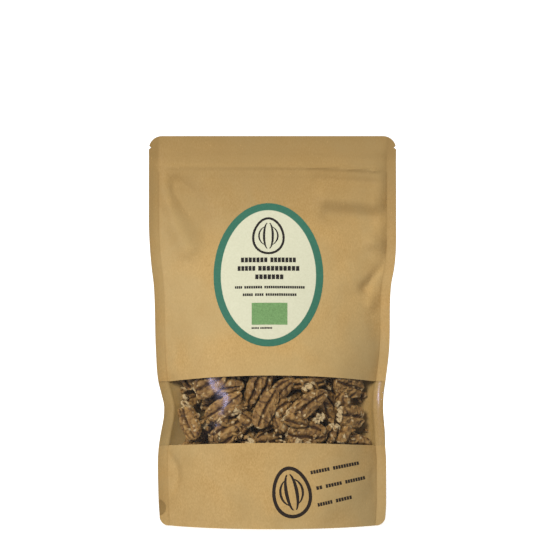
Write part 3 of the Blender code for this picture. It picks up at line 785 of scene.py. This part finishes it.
cream_rings = np.linspace(0.004, BORDER - BORDER_SHARP, 40)
label_rings = np.concatenate([cream_rings, [BORDER + BORDER_SHARP], np.linspace(0.88, 1.0, 8)])
top_face = label_points(label_rings, LABEL_AROUND, LABEL_TOP)
under_face = label_points(label_rings[::-1], LABEL_AROUND, LABEL_UNDER)
label_grid = np.concatenate([top_face, under_face])
ring_number = np.repeat(np.concatenate([label_rings, label_rings[::-1]]), LABEL_AROUND)
rim = np.arange(LABEL_AROUND)
caps = np.stack([rim[::-1], rim + (len(label_grid) - 1) * LABEL_AROUND])
label_quads = grid_quads(len(label_grid), LABEL_AROUND, wrap=True)
label_faces = label_quads.tolist() + caps.tolist()
label = add_piece("label", label_grid, label_faces, label_material(), {"ring": ring_number})
sharpen_rim(label)
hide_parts("oval_label")
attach(label, "root")
print("label", LABEL_WIDTH, "x", LABEL_HEIGHT, "mm")

# %% [markdown]
# ## Printed marks
# Ink has no thickness to speak of. A picture on the label would do, but real geometry stays sharp at any
# size and needs no image, so each mark is a ribbon: a line carried over the sheet with a width, a hair
# above it.

# %% Ribbons of ink
INK_THICKNESS = 0.03


def ink_material(name, colour, roughness=0.5):
    """Ink that soaks in unevenly."""
    made, tree, shader = new_material(name, roughness)
    soak = ramp(tree, noise(tree, 1300, 3.0), [(0.3, colour), (0.75, tuple(1.5 * c + 0.008 for c in colour))])
    tree.links.new(soak, shader.inputs["Base Color"])
    return made


def ribbon(path, width, closed, stand_off):
    """A closed thin band along a path of (x, t) points: its middle line shifted to both sides."""
    path = np.asarray(path, float)
    ahead = np.roll(path, -1, axis=0) - np.roll(path, 1, axis=0) if closed else np.gradient(path, axis=0)
    normal = np.stack([-ahead[:, 1], ahead[:, 0]], axis=1)
    normal /= np.linalg.norm(normal, axis=1, keepdims=True)
    wide = np.asarray(width, float) * np.ones(len(path))
    offsets = np.array([-0.5, 0.5, 0.5, -0.5])
    lift = stand_off - INK_THICKNESS * np.array([0, 0, 1, 1])
    x = path[:, :1] + normal[:, :1] * wide[:, None] * offsets
    t = path[:, 1:] + normal[:, 1:] * wide[:, None] * offsets
    points = wall_point(x, t, 1) + lift[None, :, None] * wall_normal(x, t, 1)
    ids = np.arange(points[..., 0].size).reshape(points.shape[:2])
    if closed:
        ids = np.concatenate([ids, ids[:1]])
    a, b = ids[:-1], ids[1:]
    faces = np.stack([a, np.roll(a, -1, axis=1), np.roll(b, -1, axis=1), b], axis=-1).reshape(-1, 4)
    if not closed:
        faces = np.concatenate([faces, ids[:1, ::-1], ids[-1:]])
    return points.reshape(-1, 3), faces[:, ::-1]


def dashes(start, end, height, stand_off):
    """A row of equal blocks from start to end, each somewhat narrower than it is high."""
    start, end = np.asarray(start, float), np.asarray(end, float)
    length = np.linalg.norm(end - start)
    way = (end - start) / length
    count = max(int(round(length / (0.8 * height))), 1)
    pitch = length / count
    share = np.linspace(0.1, 0.9, 4)[:, None]
    return [ribbon(start + (i + share) * pitch * way, height, False, stand_off) for i in range(count)]


def pecan_mark(centre, tall, wide, turn, ink, stand_off):
    """Outline of a pecan half with its two grooves, as ribbons: a pointed oval and two bowed lines."""
    around = np.linspace(0, 2 * np.pi, 72, endpoint=False)
    point = 1 - 0.13 * np.sin(around)
    oval = np.stack([0.5 * wide * np.cos(around) * point, 0.5 * tall * np.sin(around)], axis=1)
    run = np.linspace(-1, 1, 25)
    shapes = [(oval, ink, True)]
    grooves = ((-0.30, 0.27, 0.7), (-0.14, 0.37, 1.0), (0.14, 0.37, 1.0), (0.30, 0.27, 0.7))
    for offset, reach, weight in grooves:
        bow = offset * wide * np.sqrt(1.08 - run**2)
        taper = weight * ink * (0.35 + 0.65 * (1 - run**2))
        shapes.append((np.stack([bow, reach * tall * run], axis=1), taper, False))
    c, s = math.cos(turn), math.sin(turn)
    rotation = np.array([[c, s], [-s, c]])
    return [ribbon(path @ rotation + centre, width, closed, stand_off) for path, width, closed in shapes]


def add_marks(name, parts, material):
    """Joins ribbons into one piece."""
    sizes = np.cumsum([0] + [len(points) for points, _ in parts[:-1]])
    points = np.concatenate([points for points, _ in parts])
    faces = np.concatenate([faces + start for (_, faces), start in zip(parts, sizes)])
    made = add_piece(name, points, faces, material)
    made.data.shade_flat()
    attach(made, "root")
    return made


print("a row of 10 mm has", len(dashes((0, 100), (10, 100), 2.8, 0.4)), "blocks")

# %% Marks on the label
LABEL_FACE = 0.51
ROWS = [  # height above the label's middle, block height, and the ends of each run of blocks
    (8.7, 2.8, [(-15.6, -0.4), (0.9, 15.6)]),
    (3.7, 2.8, [(-17.4, -7.2), (-5.9, 17.6)]),
    (-1.3, 2.8, [(-7.6, 8.6)]),
    (-7.4, 1.5, [(-18.8, -14.6), (-13.6, -3.4), (-2.4, 20.4)]),
    (-11.8, 1.5, [(-14.4, -8.6), (-7.6, -2.6), (-1.6, 15.8)]),
    (-31.3, 1.0, [(-9.4, -5.2), (-4.6, 2.2)]),
]
ink = ink_material("dark_ink", (0.012, 0.009, 0.007), 0.6)
marks = pecan_mark(np.array([LABEL_CENTRE[0], LABEL_CENTRE[1] + 22.9]), 20.5, 17.0, 0.0, 1.3, LABEL_FACE)
for rise, height, runs in ROWS:
    at = LABEL_CENTRE[1] + rise
    for low, high in runs:
        marks += dashes((LABEL_CENTRE[0] + low, at), (LABEL_CENTRE[0] + high, at), height, LABEL_FACE)
add_marks("label_marks", marks, ink)
panel_ink = ink_material("panel_green", (0.135, 0.255, 0.095))
PANEL_LOW, PANEL_HIGH, PANEL_STRIPS = -29.4, -16.6, 8
strip_height = (PANEL_HIGH - PANEL_LOW) / PANEL_STRIPS
strips = []
for at in LABEL_CENTRE[1] + PANEL_LOW + strip_height * (0.5 + np.arange(PANEL_STRIPS)):
    line = np.stack([LABEL_CENTRE[0] + np.linspace(-9.3, 10.6, 24), np.full(24, at)], axis=1)
    strips.append(ribbon(line, strip_height, False, LABEL_FACE))
add_marks("label_panel", strips, panel_ink)
print("label marks", len(marks))

# %% Stamp on the lower sheet
SHEET_FACE = 0.335
STAMP_SLOPE = math.radians(11.5)
stamp_ink = ink_material("stamp_ink", (0.017, 0.010, 0.005), 0.65)
stamp = pecan_mark(np.array([10.6, 19.5]), 25.5, 20.0, STAMP_SLOPE, 1.9, SHEET_FACE)
STAMP_ROWS = [  # where a row starts, and the ends of its runs of blocks along it
    ((21.0, 29.8), [(0, 11.0), (12.8, 28.0)]),
    ((24.2, 21.6), [(0, 3.6), (5.4, 14.8), (16.6, 28.4)]),
    ((25.0, 12.8), [(0, 8.6), (10.4, 19.8)]),
]
for (x, t), runs in STAMP_ROWS:
    way = np.array([math.cos(STAMP_SLOPE), math.sin(STAMP_SLOPE)])
    for low, high in runs:
        stamp += dashes((x, t) + low * way, (x, t) + high * way, 1.9, SHEET_FACE)
add_marks("stamp", stamp, stamp_ink)
print("stamp marks", len(stamp))

# %% [markdown]
# ## Pecan halves
# A pecan half is a boat-shaped kernel. Its round side has two deep grooves with a broad ridge between
# them, and its flat side has one trench down the middle. Fine wrinkles run across the ridges. It could be
# sculpted once and copied, but then every half would be the same, so each is worked out afresh from its
# own size and its own random numbers, in the place of its CAD solid. Some have a broken end, where the
# pale inside shows.

# %% Where each half lies


def half_pose(node):
    """Centre, axes and size of a CAD half. Its two poles are the points farthest apart; across the line
    between them the points spread most along the width, and reach farther on the domed side."""
    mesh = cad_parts[node].data
    points = np.empty(3 * len(mesh.vertices))
    mesh.vertices.foreach_get("co", points)
    points = np.unique(np.round(points.reshape(-1, 3) / MM, 4), axis=0)
    apart = np.linalg.norm(points[:, None] - points[None], axis=-1)
    a, b = np.unravel_index(apart.argmax(), apart.shape)
    centre, length = 0.5 * (points[a] + points[b]), apart[a, b]
    along = (points[b] - points[a]) / length
    rest = points - centre
    flat = rest - np.outer(rest @ along, along)
    spread = np.linalg.svd(flat, full_matrices=False)[2]
    wide = spread[0] - spread[0].dot(along) * along
    wide /= np.linalg.norm(wide)
    dome = np.cross(along, wide)
    if -(rest @ dome).min() > (rest @ dome).max():
        dome = -dome
    blunt = np.abs(rest @ wide)[rest @ along < -0.1].max() > np.abs(rest @ wide)[rest @ along > 0.1].max()
    along = along if blunt else -along
    axes = np.array([along, np.cross(dome, along), dome])
    # each divisor is how far the CAD half's points reach, as a share of the measure it was made from
    width = 2 * np.abs(rest @ wide).max() / 1.014
    height, belly = (rest @ dome).max() / 0.969, -(rest @ dome).min() / 0.82
    return centre, axes, (length, width, height, belly)


print("first half, mm:", [round(float(v), 1) for v in half_pose(halves[0])[2]])

# %% Surface of a half


def half_surface(size, seed, rows=76, around=104, broken=0.34):
    """A half lying on its flat side, long axis X, dome towards +Z.

    Rings run from the blunt end to the point. The base form is a half ellipse over a flatter one. From it the
    two dorsal grooves, the ventral trench, lobes, wrinkles and a wavy rim are pressed in. Returns the points,
    how deep in a groove each lies, how bare of skin it is and how high on a ridge, each from 0 to 1."""
    length, width, dome, belly = size
    random = np.random.default_rng(seed)
    a = np.linspace(0, np.pi, rows + 1)[:, None]
    b = np.linspace(0, 2 * np.pi, around, endpoint=False)[None, :]
    full = np.sin(a) ** 0.85 * (1 + 0.16 * np.cos(a))
    u, c, s = -np.cos(a) + 0 * b, np.cos(b) + 0 * a, np.sin(b) + 0 * a
    up, down = np.maximum(s, 0), np.maximum(-s, 0)
    wander = 0.06 * np.sin(3.1 * u + random.uniform(0, 6)) + 0.035 * np.sin(9 * u + random.uniform(0, 6))
    reach = smooth_step(1.02, 0.86, np.abs(u))
    place = random.uniform(0.40, 0.50) * (1 - 0.22 * u**2)
    cut = random.uniform(0.075, 0.11)
    grooves = np.exp(-(((c - place - wander) / cut) ** 2)) + np.exp(-(((c + place + wander) / cut) ** 2))
    broad = np.exp(-(((c - place - wander) / 0.2) ** 2)) + np.exp(-(((c + place + wander) / 0.2) ** 2))
    grooves, broad = grooves * (s > 0) * reach, broad * (s > 0) * reach
    trench = np.exp(-(((c - 0.5 * wander) / 0.13) ** 2)) * (s < 0) * reach
    lips = np.exp(-(((np.abs(c) - 0.33) / 0.15) ** 2)) * (s < 0) * reach
    x = 0.5 * length * u
    y = 0.5 * width * full * c
    z = full * (dome * up**0.9 - belly * down**0.8)
    form = np.stack([x, y, z], axis=-1)
    wrinkles = waves(form * [1.0, 1.1, 1.0], (2.0, 4.6), seed + 1, 22)
    fine = waves(form, (0.9, 2.0), seed + 2, 22)
    lobes = np.abs(waves(form * [1.0, 0.45, 0.45], (4.5, 8.5), seed + 6, 10))
    rim = np.exp(-((s / 0.3) ** 2))
    rough = 0.28 * wrinkles + 0.17 * fine - 0.9 * smooth_step(0.30, 0.0, lobes) * (0.35 + 0.65 * rim)
    z = z - full * up**0.35 * dome * (0.20 * broad + 0.34 * grooves)
    z = z + full * down**0.35 * belly * (0.75 * trench - 0.12 * lips + 0.25 * (s < 0) * np.abs(fine))
    z = z + rough * np.sign(s) * np.minimum(full, 1) * np.where(s < 0, 1.4, 1.0)
    bites = 0.13 * np.abs(waves(form, (2.5, 5.0), seed + 3)) + 0.10 * smooth_step(0.3, 0.0, lobes)
    y = y * (1 - rim * bites)
    bend = random.normal(0, 0.6)
    y = y + bend * (1 - u**2)
    z = z + random.normal(0, 0.25) * (1 - u**2) * full
    bare = smooth_step(1.0, 1.35, waves(form, (1.6, 4.5), seed + 4, 20) + 0.5 * rim + 0.4 * np.abs(u) ** 6)
    for side in (-1, 1):
        if random.random() < broken:
            end = side * random.uniform(0.45, 0.88) * 0.5 * length
            face = end + 0.6 * waves(form, (2.5, 6.0), seed + 5) + 0.14 * y * random.normal()
            past = (x - face) * side > 0
            x = np.where(past, face + 0.1 * (x - face), x)
            bare = np.maximum(bare, past * 0.95)
    seams = 0.6 * smooth_step(0.22, 0.0, lobes)
    # darker skin and painted shade: how deep in a groove, the trench, a seam between lobes or a wrinkle's
    # hollow
    depth = np.clip(grooves + 0.4 * broad + trench + seams + 0.5 * smooth_step(-0.2, -0.9, wrinkles), 0, 1)
    # painted highlight: how high on a wrinkle's crest, to make the skin paler there
    crest_highlight = smooth_step(0.1, 0.9, wrinkles + 0.3 * fine) * (1 - depth)
    return np.stack([x, y, z], axis=-1), depth * (1 - bare), bare, crest_highlight


print("points in a half:", half_surface((27, 13, 6, 2.5), 1)[0].shape)

# %% [markdown]
# The skin of a kernel is thin and golden to red brown. In the grooves and the hollows of the wrinkles it is
# darker, partly its own darker skin and partly painted shade, and on the crests of the wrinkles a painted
# highlight makes it paler. Where it is rubbed off the cream flesh shows. The grooves, crests and bare spots
# come with the mesh as numbers, so the colour follows the shape, and each half has its own tone.

# %% Kernel skin


def kernel_material():
    """Pecan skin: mottled golden brown, paler on the ridges as a painted highlight, dark in the grooves from
    darker skin and painted shade, cream where bare.
    """
    made, tree, shader = new_material("pecan_skin", 0.5)
    mottle = noise(tree, 420, 4.0)
    browns = [(0.28, (0.165, 0.078, 0.019)), (0.5, (0.310, 0.160, 0.044)), (0.72, (0.450, 0.258, 0.086))]
    skin = ramp(tree, mottle, browns)
    tone = between(tree, number(tree, "tone"), 0, 1, 0.0, 0.6)
    skin = mix_colour(tree, tone, skin, (0.215, 0.115, 0.038))
    # painted highlight: paler skin on the crests of the wrinkles
    skin = mix_colour(tree, between(tree, number(tree, "crest_highlight"), 0, 1, 0, 0.45), skin, (0.530, 0.335, 0.125))
    speck = between(tree, noise(tree, 2300, 2.0), 0.62, 0.72, 0.0, 0.4)
    skin = mix_colour(tree, speck, skin, (0.56, 0.40, 0.18))
    # the skin's own darker tone and painted shade in the grooves and hollows
    groove = between(tree, number(tree, "groove"), 0.1, 0.9, 0.0, 0.9)
    skin = mix_colour(tree, groove, skin, (0.050, 0.021, 0.008))
    flesh = ramp(tree, noise(tree, 1400, 3.0), [(0.3, (0.48, 0.33, 0.16)), (0.7, (0.76, 0.62, 0.38))])
    skin = mix_colour(tree, between(tree, number(tree, "bare"), 0.0, 1.0, 0.0, 0.88), skin, flesh)
    tree.links.new(skin, shader.inputs["Base Color"])
    tree.links.new(between(tree, mottle, 0.3, 0.7, 0.42, 0.62), shader.inputs["Roughness"])
    add_bump(tree, shader, noise(tree, 1700, 4.0), 0.5, 0.0003)
    return made


kernel_skin = kernel_material()


def keep_inside(points):
    """Flattens whatever would stand through the film or the back against its inner face."""
    x, t = points[:, 0], points[:, 2].copy()
    for _ in range(5):
        t = points[:, 2] - (level_height(x, t) - t)
    shift = middle_plane + sway(x, t)
    held = points.copy()
    held[:, 1] = np.clip(points[:, 1], shift - wall_depth(x, t, 1) + 0.25, shift + wall_depth(x, t, 2) - 0.85)
    return held


def closed_rings(surface, numbers):
    """Points, faces and numbers of a closed body from its rings; the first and last rings shrink to poles."""
    rows, around = surface.shape[0] - 2, surface.shape[1]
    poles = np.stack([surface[0].mean(0), surface[-1].mean(0)])
    points = np.concatenate([surface[1:-1].reshape(-1, 3), poles])
    kept = [np.concatenate([v[1:-1].ravel(), [v[0].mean(), v[-1].mean()]]) for v in numbers]
    ring, ahead = np.arange(around), np.roll(np.arange(around), -1)
    first = np.stack([ahead, ring, np.full(around, rows * around)], axis=1)
    last = np.stack([ring, ahead, np.full(around, rows * around + 1)], axis=1)
    last[:, :2] += (rows - 1) * around
    quads = grid_quads(rows, around, wrap=True)[:, ::-1]
    return points, quads.tolist() + first.tolist() + last.tolist(), kept


def add_kernel_piece(name, points, faces, numbers):
    """A piece of kernel from points in millimetres, with its groove, bare, crest and tone numbers."""
    values = dict(zip(("groove", "bare", "crest_highlight", "tone"), numbers))
    made = add_piece(name, points, faces, kernel_skin, values)
    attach(made, "root")
    return made


def add_half(node, seed):
    """Builds one half over its CAD solid."""
    centre, axes, size = half_pose(node)
    surface, *numbers = half_surface(size, seed)
    points, faces, numbers = closed_rings(surface, numbers)
    numbers.append(np.full(len(points), np.random.default_rng(seed + 9).random()))
    made = add_kernel_piece(node + "_kernel", keep_inside(points @ axes + centre), faces, numbers)
    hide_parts(node)
    return made


kernels = [add_half(node, 100 + 10 * i) for i, node in enumerate(halves)]
print(len(kernels), "halves of", len(kernels[0].data.polygons), "faces")

# %% [markdown]
# ## Broken pieces and crumbs
# Between whole halves a pouch always holds broken ones and crumbs. They settle in the gaps, so they are
# dropped where a gap is: a map over the window holds how far forward the fill reaches, each piece goes to
# a spot that is still deep, presses against what lies behind it, and raises the map. Crumbs are many, so
# each is a coarse lump.

# %% Map of the gaps behind the window
CELL = 0.8
map_x, map_z = np.meshgrid(np.arange(-62, 62, CELL), np.arange(36, 96, CELL), indexing="ij")
map_t = map_z.copy()
for _ in range(6):
    map_t = map_z - (level_height(map_x, map_t) - map_t)
film_y = middle_plane - wall_depth(map_x, map_t, 1) + 0.5
reach_y = middle_plane + wall_depth(map_x, map_t, 2) - 1.2
spacious = (reach_y - film_y > 4.5) & (share_across(map_x, map_t) < 0.985)


def raise_map(points):
    """Brings the map forward to the front-most of these points in each cell."""
    i = np.round((points[:, 0] - map_x[0, 0]) / CELL).astype(int)
    j = np.round((points[:, 2] - map_z[0, 0]) / CELL).astype(int)
    on = (i >= 0) & (j >= 0) & (i < map_x.shape[0]) & (j < map_x.shape[1])
    np.minimum.at(reach_y, (i[on], j[on]), points[on, 1])


for kernel in kernels:
    held = np.empty(3 * len(kernel.data.vertices))
    kernel.data.vertices.foreach_get("co", held)
    raise_map(held.reshape(-1, 3) / MM)
print("mean gap behind the film, mm:", round(float((reach_y - film_y)[spacious].mean()), 1))

# %% Dropping pieces into the gaps


def random_turn(random):
    """A random rotation matrix, from a random quaternion."""
    w, i, j, k = (q := random.normal(size=4)) / np.linalg.norm(q)
    return np.array([
        [1 - 2 * (j * j + k * k), 2 * (i * j - k * w), 2 * (i * k + j * w)],
        [2 * (i * j + k * w), 1 - 2 * (i * i + k * k), 2 * (j * k - i * w)],
        [2 * (i * k - j * w), 2 * (j * k + i * w), 1 - 2 * (i * i + j * j)],
    ])


def drop(points, random, depth_power):
    """Moves a piece, given about its own middle, to a deep spot of the map: as far back as the map lets it
    sink, and never through the film. A high depth_power prefers the deepest spots. None if it doesn't fit."""
    radius = 0.5 * (points.max(0) - points.min(0))
    gap = np.where(spacious, reach_y - film_y, 0)
    likely = np.maximum(gap - 1.9 * radius[1], 0).ravel() ** depth_power
    if likely.sum() == 0:
        return None
    i, j = np.unravel_index(random.choice(likely.size, p=likely / likely.sum()), gap.shape)
    near = (np.abs(map_x - map_x[i, j]) < 0.8 * radius[0]) & (np.abs(map_z - map_z[i, j]) < 0.8 * radius[2])
    if not spacious[near].all():
        return None
    y = max(np.median(reach_y[near]) - 0.8 * radius[1], film_y[near].max() + radius[1])
    placed = keep_inside(points + [map_x[i, j], y, map_z[i, j]])
    raise_map(placed)
    return placed


def crumb_surface(random, rows=7, around=10):
    """A small lump: a squashed ball whose radius follows a smooth random field, with painted shade where it
    dips in and a painted highlight where it swells out. Pale where it is broken.
    """
    a = np.linspace(0, np.pi, rows + 1)[:, None]
    b = np.linspace(0, 2 * np.pi, around, endpoint=False)[None, :]
    ball = np.stack([np.sin(a) * np.cos(b), np.sin(a) * np.sin(b), np.cos(a) + 0 * b], axis=-1)
    seed = int(random.integers(1 << 30))
    swell = 1 + 0.34 * waves(ball, (1.2, 2.6), seed, 8)
    size = random.uniform(0.8, 2.5) * np.array([1.0, random.uniform(0.6, 0.95), random.uniform(0.5, 0.8)])
    bare = smooth_step(0.25, 0.8, waves(ball, (2.0, 4.0), seed + 1, 6))
    # painted shade in the hollows and a painted highlight on the bumps
    return ball * swell[..., None] * size, [0.5 * (swell < 0.85), bare, 0.6 * (swell > 1.1)]


def add_loose(name, count, make, seed, depth_power):
    """Drops count pieces, each made by make(random), and joins them into one object."""
    random = np.random.default_rng(seed)
    parts, start = [], 0
    for _ in range(count):
        surface, numbers = make(random)
        points, faces, numbers = closed_rings(surface, numbers)
        placed = drop(points @ random_turn(random), random, depth_power)
        if placed is None:
            continue
        numbers.append(np.full(len(points), random.random()))
        parts.append((placed, [[corner + start for corner in face] for face in faces], numbers))
        start += len(points)
    points = np.concatenate([part[0] for part in parts])
    faces = [face for part in parts for face in part[1]]
    numbers = [np.concatenate(column) for column in zip(*(part[2] for part in parts))]
    add_kernel_piece(name, points, faces, numbers)
    return len(parts)


def chunk_surface(random):
    """A broken half: the surface of a small half that has lost one end or both."""
    ranges = ((11, 19), (8.5, 11.5), (4.0, 5.2), (1.8, 2.4))  # length, width, dome and belly
    size = tuple(random.uniform(low, high) for low, high in ranges)
    surface, *numbers = half_surface(size, int(random.integers(1 << 30)), 40, 56, 0.8)
    return surface, numbers


print("broken pieces:", add_loose("broken_pieces", 44, chunk_surface, 4, 1.5))
print("crumbs:", add_loose("crumbs", 130, crumb_surface, 6, 0.5))
print("mean gap left, mm:", round(float((reach_y - film_y)[spacious].mean()), 1))

# %% Finish
sweep_paint, sweep_tree, sweep_shader = new_material("sweep_paint", 0.9)
sweep_shader.inputs["Base Color"].default_value = (0.93, 0.93, 0.93, 1)
place = add_node(sweep_tree, "ShaderNodeTexCoord").outputs["Object"]
distance = add_node(sweep_tree, "ShaderNodeVectorMath", operation="LENGTH")
sweep_tree.links.new(place, distance.inputs[0])
near = between(sweep_tree, distance.outputs["Value"], 0.35, 1.3, 0.0, 1.0)
glow = ramp(sweep_tree, near, [(0, (0.5, 0.5, 0.5)), (1, (1.0, 1.0, 1.0))])
sweep_tree.links.new(glow, sweep_shader.inputs["Emission Color"])
sweep_shader.inputs["Emission Strength"].default_value = 1.0
sweep.data.materials.append(sweep_paint)
